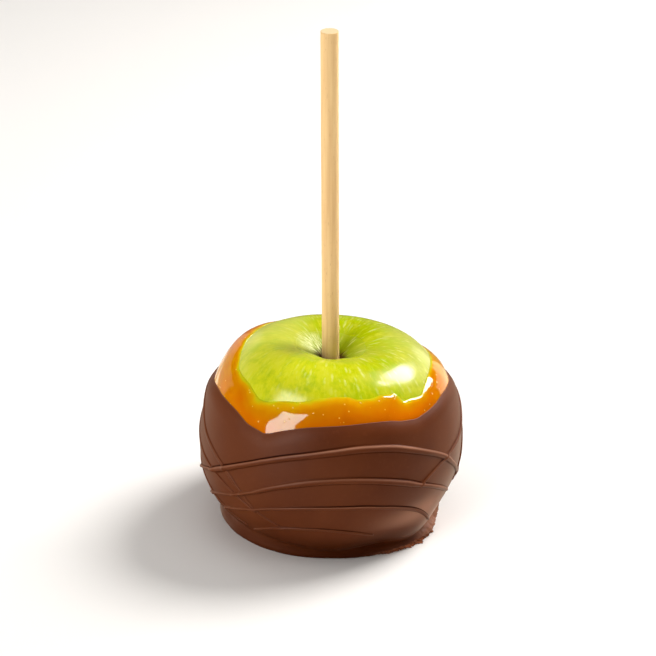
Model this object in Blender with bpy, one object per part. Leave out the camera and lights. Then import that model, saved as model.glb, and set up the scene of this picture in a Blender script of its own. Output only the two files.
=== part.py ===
"""A chocolate caramel apple: a green apple on a wooden stick, dipped in caramel, then in chocolate,
and drizzled with more chocolate. Metres, +Z up. The flat chocolate foot rests on z = 0, the stick
stands near the Z axis, and the front of the apple faces -Y."""

import math

import bmesh
import bpy
from mathutils import Vector

# The stick is a quarter-inch dowel, and every other size follows from it.
STICK_DIAMETER = 0.00635
STICK_TOP = 0.1871
STICK_BOTTOM = 0.0148
STICK_LEAN = math.radians(0.2)
STICK_LEAN_PIVOT = 0.070

# The apple: its widest circle, the rise above it, the drop below it and the stem cavity.
APPLE_RADIUS = 0.0446
APPLE_WIDEST_HEIGHT = 0.0289
APPLE_RISE = 0.0448
APPLE_DROP = 0.0249
APPLE_SHOULDER_SQUARENESS = 0.556
APPLE_BASE_SQUARENESS = 0.36
APPLE_OVAL = 0.023
APPLE_OVAL_AZIMUTH = math.radians(38)
APPLE_LOBE = 0.0087
APPLE_LOBE_AZIMUTH = math.radians(24)
SHOULDER_TILT = 0.0035
SHOULDER_TILT_AZIMUTH = math.radians(215)
CROWN_SHIFT = 0.0009
CAVITY_DEPTH = 0.0144
CAVITY_WIDTH = 0.0148

# The coats, measured out from the apple's skin. Each is thin at its top edge and reaches its full
# depth some degrees further down. GAP keeps neighbouring solids apart.
GAP = 0.0003
CARAMEL_SURFACE = 0.0022
CARAMEL_LIP = 0.0007
CARAMEL_TAPER = 9
CHOCOLATE_SURFACE = 0.0037
CHOCOLATE_LIP = 0.0030
CHOCOLATE_TAPER = 4

# Each dip left a nearly straight edge round the stick: (azimuth, polar angle from the stick) in
# degrees. Where two meet, the edge turns a soft corner.
CARAMEL_DIPS = ((278, 39), (2, 42), (75, 47), (142, 25), (199, 42))
CHOCOLATE_DIPS = ((205, 57), (280, 51.5), (343, 56), (35, 60), (92, 62), (150, 61))
DIP_CORNER_SHARPNESS = 8

# The foot, where chocolate pooled as it set: its radius, its height, and the places where it spread
# or drew in, each an (azimuth in degrees, half-width in degrees, reach).
FOOT_RADIUS = 0.0405
FOOT_HEIGHT = 0.0058
FOOT_CREASE_POLAR = 141
FOOT_SPREADS = ((200, 26, 0.0008), (266, 16, -0.0009), (316, 17, 0.0028))

# Drizzle. It was thrown over the apple in three passes, so each pass is a family of arcs that are
# highest at the azimuth the pass came from. All angles are in degrees: the crown's azimuth and polar
# angle, the ends' azimuths, and the sag, in thousandths of a degree for each degree squared, to
# the left and to the right of the crown.
STRAND_RADIUS = 0.0009
STRAND_STANDING = 0.00075
STRAND_STEP = 0.0042
STRANDS = {
    "front": (
        (288, 65.5, 200, 345, 3.9, 11.5),
        (273, 79.6, 205, 342, 7.8, 8.8),
        (274, 94.0, 215, 324, 7.6, 13.0),
        (261, 114.5, 236, 296, 14.0, 11.0),
    ),
    "left": (
        (150, 61.5, 72, 233, 4.2, 4.9),
        (150, 74.5, 66, 248, 4.6, 4.3),
        (150, 98.0, 78, 234, 4.0, 3.7),
    ),
    "right": (
        (380, 74.0, 311, 455, 3.5, 4.0),
        (384, 88.0, 336, 450, 5.0, 4.4),
        (388, 104.0, 330, 446, 4.0, 4.2),
    ),
}

# Facets. Every skin has points at the same azimuths and, below MERIDIAN_JOIN, at the same polar angles,
# so that neighbours stay parallel. The apple's upper points crowd into the stem cavity.
AROUND = 48
STICK_SIDES = 32
MERIDIAN_JOIN = 75
MERIDIAN_STEP = 11
MERIDIAN_END = 174
CROWN_POLARS = (1.2, 3.5, 7, 11, 15, 20, 27, 35, 44, 54, 64)


def material(name, colour, roughness):
    """A plain Principled material of one linear colour."""
    made = bpy.data.materials.new(name)
    made.use_nodes = True
    shader = made.node_tree.nodes["Principled BSDF"]
    shader.inputs["Base Color"].default_value = (*colour, 1.0)
    shader.inputs["Roughness"].default_value = roughness
    shader.inputs["Metallic"].default_value = 0.0
    made.diffuse_color = (*colour, 1.0)
    return made


def apple_profile(azimuth, polar):
    """Radius and height of the apple's skin. The polar angle runs from the stem to the base."""
    oval = APPLE_OVAL * math.cos(2 * (azimuth - APPLE_OVAL_AZIMUTH))
    lobe = APPLE_LOBE * math.cos(3 * (azimuth - APPLE_LOBE_AZIMUTH))
    side = APPLE_RADIUS * (1 + oval + lobe)
    across = max(math.sin(polar), 0.0)
    along = math.cos(polar)
    if along < 0:
        radius = side * across**APPLE_BASE_SQUARENESS
        return radius, APPLE_WIDEST_HEIGHT - APPLE_DROP * (-along) ** 0.96
    radius = side * across**APPLE_SHOULDER_SQUARENESS
    rise = APPLE_RISE * along**1.04
    cavity = CAVITY_DEPTH * math.exp(-((radius / CAVITY_WIDTH) ** 1.1)) * along
    tilt = SHOULDER_TILT * math.cos(azimuth - SHOULDER_TILT_AZIMUTH) * along * radius / APPLE_RADIUS
    shift = CROWN_SHIFT * math.cos(azimuth) * along
    return radius + shift, APPLE_WIDEST_HEIGHT + rise - cavity + tilt


def skin_profile(azimuth, polar, offset):
    """Radius and height of a surface that lies offset outside the apple's skin."""
    step = 0.004
    above = apple_profile(azimuth, max(polar - step, 0.0))
    below = apple_profile(azimuth, min(polar + step, math.pi))
    radius, height = apple_profile(azimuth, polar)
    run = below[0] - above[0]
    fall = above[1] - below[1]
    length = math.hypot(run, fall)
    return max(radius + offset * fall / length, 0.0), height + offset * run / length


def at(azimuth, radius, height):
    return Vector((radius * math.cos(azimuth), radius * math.sin(azimuth), height))


def dip_edge(azimuth, dips):
    """Polar angle of a coat's top edge: a polygon round the stick, one side for each dip."""
    total = 0.0
    for middle, reach in dips:
        facing = max(math.cos(azimuth - math.radians(middle)), 0.0)
        total += (facing / math.radians(reach)) ** DIP_CORNER_SHARPNESS
    return total ** (-1 / DIP_CORNER_SHARPNESS)


def foot_radius(azimuth):
    radius = FOOT_RADIUS
    for middle, width, reach in FOOT_SPREADS:
        away = math.degrees(math.remainder(azimuth - math.radians(middle), math.tau))
        radius += reach * math.exp(-((away / width) ** 2))
    return radius


def wall(azimuth, edge, steps, offset, lip=None, taper=1, last=MERIDIAN_END):
    """Profile points down a coat's side: a few from its edge to the shared polar angles, then those.
    With a lip, the surface starts there at the edge and swells to the offset over the taper."""
    lip = offset if lip is None else lip
    polars = [edge + (math.radians(MERIDIAN_JOIN) - edge) * (i / steps) ** 1.5 for i in range(steps)]
    polars += [math.radians(degrees) for degrees in range(MERIDIAN_JOIN, last + 1, MERIDIAN_STEP)]
    points = []
    for polar in polars:
        short = 1 - min((polar - edge) / math.radians(taper), 1)
        points.append(skin_profile(azimuth, polar, offset + (lip - offset) * short**2))
    return points


def fruit_profile(azimuth):
    """The apple's skin from the stem cavity, over the shoulder and down to the base."""
    crown = [apple_profile(azimuth, math.radians(degrees)) for degrees in CROWN_POLARS]
    return crown + wall(azimuth, math.radians(MERIDIAN_JOIN), 0, 0.0)


def caramel_profile(azimuth):
    """Up the inside of the caramel, over its lip and down the outside."""
    edge = dip_edge(azimuth, CARAMEL_DIPS)
    inside = wall(azimuth, edge, 5, GAP)
    outside = wall(azimuth, edge, 6, CARAMEL_SURFACE, CARAMEL_LIP, CARAMEL_TAPER)
    return inside[::-1] + outside


def chocolate_profile(azimuth):
    """Up the inside of the chocolate, over its lip, down the outside, round the foot and under it."""
    edge = dip_edge(azimuth, CHOCOLATE_DIPS)
    inside = wall(azimuth, edge, 3, CARAMEL_SURFACE + GAP)
    outside = wall(
        azimuth, edge, 4, CHOCOLATE_SURFACE, CHOCOLATE_LIP, CHOCOLATE_TAPER, last=FOOT_CREASE_POLAR
    )
    toe = foot_radius(azimuth)
    foot = [
        (toe + 0.0004, 0.66 * FOOT_HEIGHT),
        (toe + 0.0006, 0.36 * FOOT_HEIGHT),
        (toe - 0.0001, 0.09 * FOOT_HEIGHT),
        (toe - 0.0012, 0.0),
        (0.5 * toe, 0.0),
    ]
    return inside[::-1] + outside + foot


def from_sphere(name, profile, start, end):
    """A closed solid from a sphere. Ring by ring, its points move to a profile of radius and height
    for their azimuth, and its two poles move to the heights start and end on the axis."""
    rings = len(profile(0.0))
    mesh = bpy.data.meshes.new(name)
    work = bmesh.new()
    bmesh.ops.create_uvsphere(work, u_segments=AROUND, v_segments=rings + 1, radius=1.0)
    profiles = {}
    for vertex in work.verts:
        ring = round(math.acos(max(-1.0, min(1.0, vertex.co.z))) / math.pi * (rings + 1))
        if ring == 0:
            vertex.co = (0.0, 0.0, start)
        elif ring == rings + 1:
            vertex.co = (0.0, 0.0, end)
        else:
            turn = round(math.atan2(vertex.co.y, vertex.co.x) / math.tau * AROUND)
            azimuth = math.tau * turn / AROUND
            if turn not in profiles:
                profiles[turn] = profile(azimuth)
            vertex.co = at(azimuth, *profiles[turn][ring - 1])
    work.to_mesh(mesh)
    work.free()
    return bpy.data.objects.new(name, mesh)


def rod(name, radius, bottom, top):
    """A round rod along the stick's slightly leaning axis."""
    bpy.ops.mesh.primitive_cylinder_add(vertices=STICK_SIDES, radius=radius, depth=top - bottom)
    made = bpy.context.object
    made.name = name
    above = (top + bottom) / 2 - STICK_LEAN_PIVOT
    made.rotation_euler = (0.0, -STICK_LEAN, 0.0)
    made.location = (-above * math.sin(STICK_LEAN), 0.0, STICK_LEAN_PIVOT + above * math.cos(STICK_LEAN))
    return made


def strand_path(crown_azimuth, crown_polar, first, last, sag_left, sag_right):
    """Points along one arc of drizzle, half sunk in the coat."""
    length = math.radians(last - first) * APPLE_RADIUS
    steps = max(6, round(length / STRAND_STEP))
    points = []
    for index in range(steps + 1):
        degrees = first + (last - first) * index / steps
        away = degrees - crown_azimuth
        sag = sag_left if away < 0 else sag_right
        polar = math.radians(crown_polar + sag / 1000 * away * away)
        azimuth = math.radians(degrees)
        depth = CHOCOLATE_SURFACE + STRAND_STANDING - STRAND_RADIUS
        points.append(at(azimuth, *skin_profile(azimuth, polar, depth)))
    return points


def make_strand(name, points):
    """A strand as a solid: a round curve along its points, thin at both ends, made a mesh."""
    curve = bpy.data.curves.new(name, "CURVE")
    curve.dimensions = "3D"
    curve.bevel_depth = STRAND_RADIUS
    curve.bevel_resolution = 1
    curve.use_fill_caps = True
    spline = curve.splines.new("POLY")
    spline.points.add(len(points) - 1)
    for index, (point, place) in enumerate(zip(spline.points, points)):
        point.co = (*place, 1.0)
        point.radius = 0.55 if index in (0, len(points) - 1) else 1.0
    guide = bpy.data.objects.new(name + "_guide", curve)
    bpy.context.scene.collection.objects.link(guide)
    bpy.context.view_layer.update()
    graph = bpy.context.evaluated_depsgraph_get()
    mesh = bpy.data.meshes.new_from_object(guide.evaluated_get(graph))
    work = bmesh.new()
    work.from_mesh(mesh)
    bmesh.ops.remove_doubles(work, verts=work.verts, dist=0.00001)
    bmesh.ops.recalc_face_normals(work, faces=work.faces)
    work.to_mesh(mesh)
    work.free()
    strand = bpy.data.objects.new(name, mesh)
    strand.matrix_world = guide.matrix_world
    bpy.data.objects.remove(guide)
    return strand


def apply_boolean(target, operation, solver, **cutter):
    """Adds a Boolean to the target and applies it at once."""
    modifier = target.modifiers.new(operation.lower(), "BOOLEAN")
    modifier.operation = operation
    modifier.solver = solver
    for key, value in cutter.items():
        setattr(modifier, key, value)
    bpy.context.view_layer.objects.active = target
    bpy.ops.object.modifier_apply(modifier=modifier.name)


def clear_scene():
    for existing in list(bpy.data.objects):
        bpy.data.objects.remove(existing, do_unlink=True)


def new_collection(name):
    made = bpy.data.collections.new(name)
    bpy.context.scene.collection.children.link(made)
    return made


def move_to(collection, target):
    for owner in list(target.users_collection):
        owner.objects.unlink(target)
    collection.objects.link(target)


def drizzle(coat):
    """Fuses every strand of drizzle to the chocolate coat."""
    strands = new_collection("drizzle")
    for family, arcs in STRANDS.items():
        for index, arc in enumerate(arcs):
            strands.objects.link(make_strand(f"{family}_{index}", strand_path(*arc)))
    apply_boolean(coat, "UNION", "MANIFOLD", operand_type="COLLECTION", collection=strands)
    for strand in list(strands.objects):
        bpy.data.objects.remove(strand, do_unlink=True)
    bpy.data.collections.remove(strands)


def finish(target, look):
    target.data.materials.clear()
    target.data.materials.append(look)
    target.data.shade_smooth()
    target.data.set_sharp_from_angle(angle=math.radians(35))


def main():
    clear_scene()
    parts = new_collection("chocolate_caramel_apple")
    cutters = new_collection("cutters")
    cutters.hide_render = True

    stick = rod("stick", STICK_DIAMETER / 2, STICK_BOTTOM, STICK_TOP)
    move_to(parts, stick)

    apple_base = APPLE_WIDEST_HEIGHT - APPLE_DROP
    apple = from_sphere("apple", fruit_profile, apple_profile(0.0, 0.0)[1], apple_base)
    parts.objects.link(apple)
    bore = rod("stick_bore", STICK_DIAMETER / 2 + GAP, STICK_BOTTOM - GAP, STICK_TOP)
    bore.hide_render = True
    bore.display_type = "WIRE"
    move_to(cutters, bore)
    apply_boolean(apple, "DIFFERENCE", "EXACT", object=bore)
    bpy.data.objects.remove(bore, do_unlink=True)

    caramel_base = apple_base - CARAMEL_SURFACE
    caramel = from_sphere("caramel_coat", caramel_profile, apple_base - GAP, caramel_base)
    parts.objects.link(caramel)
    chocolate = from_sphere("chocolate_coat", chocolate_profile, caramel_base - GAP, 0.0)
    parts.objects.link(chocolate)
    drizzle(chocolate)

    finish(apple, material("green_apple_skin", (0.48, 0.58, 0.03), 0.30))
    finish(stick, material("birch_wood", (0.62, 0.40, 0.20), 0.55))
    finish(caramel, material("caramel", (0.62, 0.24, 0.01), 0.12))
    finish(chocolate, material("milk_chocolate", (0.115, 0.036, 0.018), 0.38))


main()
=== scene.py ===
import bpy
import numpy as np
from mathutils import Euler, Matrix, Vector


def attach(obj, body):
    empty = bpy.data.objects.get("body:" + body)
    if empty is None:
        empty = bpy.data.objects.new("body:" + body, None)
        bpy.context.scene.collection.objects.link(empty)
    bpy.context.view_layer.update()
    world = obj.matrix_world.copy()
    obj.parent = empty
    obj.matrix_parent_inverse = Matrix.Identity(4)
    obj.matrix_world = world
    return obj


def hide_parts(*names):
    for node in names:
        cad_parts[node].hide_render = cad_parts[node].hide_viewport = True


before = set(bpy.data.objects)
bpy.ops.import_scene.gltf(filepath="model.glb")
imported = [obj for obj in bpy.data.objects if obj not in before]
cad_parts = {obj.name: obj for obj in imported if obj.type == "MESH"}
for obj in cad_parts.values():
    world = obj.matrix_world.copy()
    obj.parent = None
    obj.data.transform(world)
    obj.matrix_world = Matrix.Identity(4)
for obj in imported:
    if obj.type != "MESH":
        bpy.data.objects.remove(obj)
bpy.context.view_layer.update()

print("solids loaded:", ", ".join(sorted(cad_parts)))

turn = 2 * np.pi
mm = 0.001


def linear(hexColour):
    # the sRGB curve undone for each channel of a hex colour, with full alpha added
    digits = hexColour.lstrip("#")
    channels = np.array([int(digits[i:i + 2], 16) for i in (0, 2, 4)]) / 255
    bent = np.where(channels <= 0.04045, channels / 12.92, ((channels + 0.055) / 1.055) ** 2.4)
    return (*bent.tolist(), 1.0)


def fitNode(tree, node, settings, links):
    # settings go to a node's own properties, its ramp, its four range sockets or its other sockets, and links are
    # socket: (node, output)
    for key, value in settings.items():
        if key == "stops":
            stops = node.color_ramp.elements
            while len(stops) < len(value):
                stops.new(0.5)
            for stop, (place, colour) in zip(stops, value):
                stop.position = place
                stop.color = linear(colour) if isinstance(colour, str) else (colour, colour, colour, 1.0)
        elif key == "range":
            for socket, number in zip(("From Min", "From Max", "To Min", "To Max"), value):
                node.inputs[socket].default_value = number
        elif isinstance(key, str) and hasattr(node, key):
            setattr(node, key, value)
        else:
            node.inputs[key].default_value = value
    for key, (source, output) in links.items():
        tree.links.new(source.outputs[output], node.inputs[key])


def addNode(tree, kind, settings=None, links=None):
    # one shader node of that kind, with its settings and links
    node = tree.nodes.new("ShaderNode" + kind)
    fitNode(tree, node, settings or {}, links or {})
    return node


def newMaterial(name, viewColour):
    # a material with its viewport colour, the tree of its nodes and its main shader
    material = bpy.data.materials.new(name)
    material.use_nodes = True
    material.diffuse_color = linear(viewColour)
    tree = material.node_tree
    return material, tree, tree.nodes["Principled BSDF"]


def waves(points, size, seed, count=16):
    # an uneven field of about -1 to 1: sine waves of about that size, in random directions, added up
    draw = np.random.default_rng(seed)
    ways = draw.normal(size=(count, 3))
    ways *= turn / size * draw.uniform(0.7, 1.5, (count, 1)) / np.linalg.norm(ways, axis=1, keepdims=True)
    phases = draw.uniform(0, turn, count)
    return np.sin(points @ ways.T + phases).sum(axis=-1) / np.sqrt(2 * count)


def smoothStep(value, low, high):
    # 0 below low, 1 above high, and 3t^2 - 2t^3 between them
    t = np.clip((value - low) / (high - low), 0, 1)
    return t * t * (3 - 2 * t)


def bumps(azimuth, places):
    # sum of bell curves round the stick, each (facing, half-width, height), with the first two in degrees
    total = np.zeros_like(azimuth)
    for facing, width, height in places:
        away = (np.degrees(azimuth) - facing + 180) % 360 - 180
        total = total + height * np.exp(-(away / width) ** 2)
    return total


def placed(azimuth, radius, height):
    # points from an azimuth, a distance from the Z axis and a height
    azimuth, radius, height = np.broadcast_arrays(azimuth, radius, height)
    return np.stack([radius * np.cos(azimuth), radius * np.sin(azimuth), height], axis=-1)


def ring(columns):
    # azimuths evenly round, as one row of a grid
    return (np.arange(columns) / columns * turn)[None, :]


def softPath(knots, steps):
    # Catmull-Rom: a cubic through each pair of knots, whose slope at a knot is half the step between its neighbours
    knots = np.asarray(knots)
    ends = np.concatenate([2 * knots[:1] - knots[1:2], knots, 2 * knots[-1:] - knots[-2:-1]])
    t = (np.arange(steps) / steps).reshape((-1,) + (1,) * (knots.ndim - 1))
    runs = []
    for a, b, c, d in zip(ends, ends[1:], ends[2:], ends[3:]):
        runs.append(b + 0.5 * t * (c - a + t * (2 * a - 5 * b + 4 * c - d + t * (3 * (b - c) + d - a))))
    return np.concatenate(runs + [knots[-1:]])


def closedMesh(name, shells, fields=None):
    # Joins shells, each (grid, first point, last point), into one mesh. A grid wraps round in its columns, and a
    # fan closes each end of it to a point. Fields are values for each grid point.
    points, faces, count = [], [], 0
    for grid, first, last in shells:
        rows, columns = grid.shape[:2]
        index = count + np.arange(rows * columns).reshape(rows, columns)
        right = np.roll(index, -1, axis=1)
        start = count + rows * columns
        quads = np.stack([index[:-1], index[1:], right[1:], right[:-1]], axis=-1).reshape(-1, 4)
        firstFan = np.stack([np.full(columns, start), index[0], right[0]], axis=-1)
        lastFan = np.stack([np.full(columns, start + 1), right[-1], index[-1]], axis=-1)
        faces += quads.tolist() + firstFan.tolist() + lastFan.tolist()
        points += [grid.reshape(-1, 3), np.array([first, last])]
        count = start + 2
    mesh = bpy.data.meshes.new(name)
    mesh.from_pydata(np.concatenate(points), [], faces)
    for label, values in (fields or {}).items():
        flat = []
        for value in values:
            ends = np.stack([value[0].mean(axis=0), value[-1].mean(axis=0)])
            flat += [value.reshape(-1, *value.shape[2:]), ends]
        flat = np.concatenate(flat).astype(np.float32)
        kind, slot = ("FLOAT_VECTOR", "vector") if flat.ndim == 2 else ("FLOAT", "value")
        mesh.attributes.new(label, kind, "POINT").data.foreach_set(slot, flat.ravel())
    mesh.shade_smooth()
    mesh.update()
    piece = bpy.data.objects.new(name, mesh)
    bpy.context.scene.collection.objects.link(piece)
    triangles = sum(len(polygon.vertices) - 2 for polygon in mesh.polygons)
    print(f"{name}: {triangles} triangles")
    return piece


def standFor(piece, node, material):
    # the piece rides on the one body, in place of a CAD node, and takes the material it is given
    piece.data.materials.append(material)
    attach(piece, "root")
    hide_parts(node)


# the stick: a quarter-inch dowel that leans a fifth of a degree
stick = dict(
    diameter=6.35 * mm, top=187.05 * mm, bottom=14.8 * mm, lean=0.2, pivot=70 * mm, roundedEdge=0.25 * mm,
    outOfRound=0.02 * mm, outOfRoundSize=5 * mm, sawMarks=0.04 * mm, sawMarkSize=1.4 * mm, seed=3,
    sides=96, endRows=8, edgeRows=6, sideRows=180,
    wood="#F1CB8E", latewood="#E4B679", pores="#B88650", endGrain="#DCC296",
    # patterns to the millimetre, and how much they are drawn out along the stick
    grainPerMm=0.9, bandsPerMm=0.26, grainStretch=0.035, poresPerMm=2.4, poreStretch=0.12,
)


def stickAxis(height):
    # a point of the axis at each height along it
    lean = np.radians(stick["lean"])
    above = height - stick["pivot"]
    return np.stack([-above * np.sin(lean), 0 * above, stick["pivot"] + above * np.cos(lean)], axis=-1)


def stickPiece():
    # a turned profile of radius and height, its edges quarter circles, each ring slightly out of round
    s = stick
    edge, radius = s["roundedEdge"], s["diameter"] / 2
    bend = np.linspace(0, np.pi / 2, s["edgeRows"])
    endRadius = np.linspace(0.2, 1, s["endRows"])[:-1] * (radius - edge)
    topRadius = np.concatenate([endRadius, radius - edge + edge * np.sin(bend)])
    topHeight = np.concatenate([np.full(len(endRadius), s["top"]), s["top"] - edge + edge * np.cos(bend)])
    sideHeight = np.linspace(s["top"] - 2 * edge, s["bottom"] + 2 * edge, s["sideRows"])
    ringRadius = np.concatenate([topRadius, np.full(s["sideRows"], radius), topRadius[::-1]])[:, None]
    ringHeight = np.concatenate([topHeight, sideHeight, s["top"] + s["bottom"] - topHeight[::-1]])[:, None]
    around = ring(s["sides"])
    turned = placed(around, ringRadius, ringHeight)
    uneven = waves(turned * [1, 1, 0.15], s["outOfRoundSize"], s["seed"]) - 1
    ringRadius = ringRadius + s["outOfRound"] * uneven * (ringRadius / radius) ** 3
    marks = s["sawMarks"] * (waves(turned, s["sawMarkSize"], s["seed"] + 2) - 1)
    grid = placed(around, ringRadius, marks * (ringHeight > s["top"] - 0.5 * edge)) + stickAxis(ringHeight)
    return closedMesh("birchStick", [(grid, stickAxis(s["top"] - s["sawMarks"]), stickAxis(s["bottom"]))])


def birchDowel():
    # birch, turned to a dowel and left bare: pale honey wood with long grain along Z, short dark pores and a dull
    # surface. The grain is 1 mm wide, the bands 4 mm, and a pore 0.15 mm wide and 1.3 mm long.
    s = stick
    material, tree, shader = newMaterial("birchDowel", s["wood"])
    place = addNode(tree, "TexCoord")
    along = addNode(tree, "Mapping", {"Scale": (1, 1, s["grainStretch"])}, {"Vector": (place, "Object")})
    fine = {"Scale": s["grainPerMm"] / mm, "Detail": 4, "Roughness": 0.6}
    grain = addNode(tree, "TexNoise", fine, {"Vector": (along, 0)})
    streak = addNode(tree, "MapRange", {"range": (0.35, 0.70, 0, 1)}, {"Value": (grain, "Fac")})
    bands = addNode(tree, "TexNoise", {"Scale": s["bandsPerMm"] / mm, "Detail": 2}, {"Vector": (along, 0)})
    band = addNode(tree, "MapRange", {"range": (0.45, 0.75, 0, 0.5)}, {"Value": (bands, "Fac")})
    poreMap = addNode(tree, "Mapping", {"Scale": (1, 1, s["poreStretch"])}, {"Vector": (place, "Object")})
    pore = addNode(tree, "TexVoronoi", {"Scale": s["poresPerMm"] / mm}, {"Vector": (poreMap, 0)})
    inPore = addNode(tree, "MapRange", {"range": (0.10, 0.26, 1, 0)}, {"Value": (pore, "Distance")})
    # pores come in patches of about 2.4 mm
    patches = addNode(tree, "TexNoise", {"Scale": 0.42 / mm}, {"Vector": (place, "Object")})
    patch = addNode(tree, "MapRange", {"range": (0.50, 0.62, 0, 1)}, {"Value": (patches, "Fac")})
    pores = addNode(tree, "Math", {"operation": "MULTIPLY"}, {0: (inPore, 0), 1: (patch, 0)})
    poreTone = addNode(tree, "Math", {"operation": "MULTIPLY", 1: 0.6}, {0: (pores, 0)})
    # the sawn end is what faces up
    facing = addNode(tree, "SeparateXYZ", {}, {0: (addNode(tree, "NewGeometry"), "Normal")})
    sawn = addNode(tree, "MapRange", {"range": (0.6, 0.9, 0, 1)}, {"Value": (facing, "Z")})
    wood = {"data_type": "RGBA", 6: linear(s["wood"]), 7: linear(s["latewood"])}
    tone = addNode(tree, "Mix", wood, {0: (streak, 0)})
    for mask, colour in ((band, "latewood"), (poreTone, "pores"), (sawn, "endGrain")):
        tone = addNode(tree, "Mix", {"data_type": "RGBA", 7: linear(s[colour])}, {0: (mask, 0), 6: (tone, 2)})
    relief = addNode(tree, "Math", {"operation": "SUBTRACT"}, {0: (grain, "Fac"), 1: (pores, 0)})
    bump = addNode(tree, "Bump", {"Strength": 0.5, "Distance": 0.06 * mm}, {"Height": (relief, 0)})
    settings = {"Roughness": 0.62, "IOR": 1.45, "Specular IOR Level": 0.35}
    fitNode(tree, shader, settings, {"Base Color": (tone, 2), "Normal": (bump, 0)})
    return material


standFor(stickPiece(), "stick", birchDowel())

# the apple
fruit = dict(
    radius=44.6 * mm, widestHeight=28.9 * mm, rise=44.8 * mm, drop=24.9 * mm,
    shoulderSquareness=0.556, baseSquareness=0.36,
    oval=0.023, ovalFacing=38, lobe=0.0087, lobeFacing=24,
    tilt=3.5 * mm, tiltFacing=215, crownShift=0.9 * mm,
    cavityDepth=14.4 * mm, cavityWidth=14.8 * mm,
    # creases that run down into the stem cavity: (facing, half-width in degrees, depth)
    creases=((62, 16, 0.9 * mm), (128, 22, 0.5 * mm), (196, 20, 0.7 * mm), (262, 24, 0.35 * mm), (330, 20, 0.5 * mm)),
    creaseAt=9 * mm, creaseReach=8 * mm, dent=0.9 * mm, uneven=0.12 * mm, unevenSize=14 * mm,
    unevenReach=34 * mm, seed=21, gap=0.3 * mm, columns=440, holeRows=24, shoulderRows=150, sideRows=46,
    viewColour="#B9CC22", greenerAndShadedBack="#A2AC04", green="#AEB506", riperAndLitFront="#CDCE0A",
    blotch="#A4B800", paleBlotch="#CCCA30", fibre="#D4D636", cavity="#6E8400", paintedShoulderSheen="#D2D070",
    fleck="#DEDE88", cavityFibreAndHighlight="#F0F0B4", russet="#4E3A12",
    # flecks near the stem and further out: (patterns to the millimetre, how much they are drawn out, the share of
    # them where they start to show and where they show fully, the same for the distance from a fleck's middle)
    flecks=((0.60, 0.22, 0.30, 0.65, 0.12, 0.42), (1.05, 0.20, 0.30, 0.90, 0.10, 0.46)),
    # a patch of pale fibres on the left wall of the cavity, partly a painted highlight
    patch=(-7 * mm, 4 * mm, 65 * mm),
)


def appleProfile(azimuth, polar):
    # Polar runs from the stem, 0, to the base. The radius is a round side with soft lobes, times a power of
    # sin(polar) that squares the shoulder and the base. The height is that of the widest circle plus a rise,
    # less a drop, less a well for the stem that is exponential in the radius.
    f = fruit
    oval = f["oval"] * np.cos(2 * (azimuth - np.radians(f["ovalFacing"])))
    lobe = f["lobe"] * np.cos(3 * (azimuth - np.radians(f["lobeFacing"])))
    side = f["radius"] * (1 + oval + lobe)
    across = np.clip(np.sin(polar), 0, None)
    up, down = np.clip(np.cos(polar), 0, None), np.clip(-np.cos(polar), 0, None)
    squareness = np.where(down > 0, f["baseSquareness"], f["shoulderSquareness"])
    radius = side * across**squareness
    well = f["cavityDepth"] * np.exp(-((radius / f["cavityWidth"]) ** 1.1)) * up
    tilt = f["tilt"] * np.cos(azimuth - np.radians(f["tiltFacing"])) * up * radius / f["radius"]
    height = f["widestHeight"] + f["rise"] * up**1.04 - f["drop"] * down**0.96 - well + tilt
    return radius + f["crownShift"] * np.cos(azimuth) * up, height


def skin(azimuth, polar, offset):
    # the profile moved out along its own normal, whose run and fall come from a small step each way
    above = appleProfile(azimuth, np.maximum(polar - 0.004, 0))
    below = appleProfile(azimuth, np.minimum(polar + 0.004, np.pi))
    radius, height = appleProfile(azimuth, polar)
    run, fall = below[0] - above[0], above[1] - below[1]
    length = np.hypot(run, fall)
    return np.maximum(radius + offset * fall / length, 0), height + offset * run / length


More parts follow.
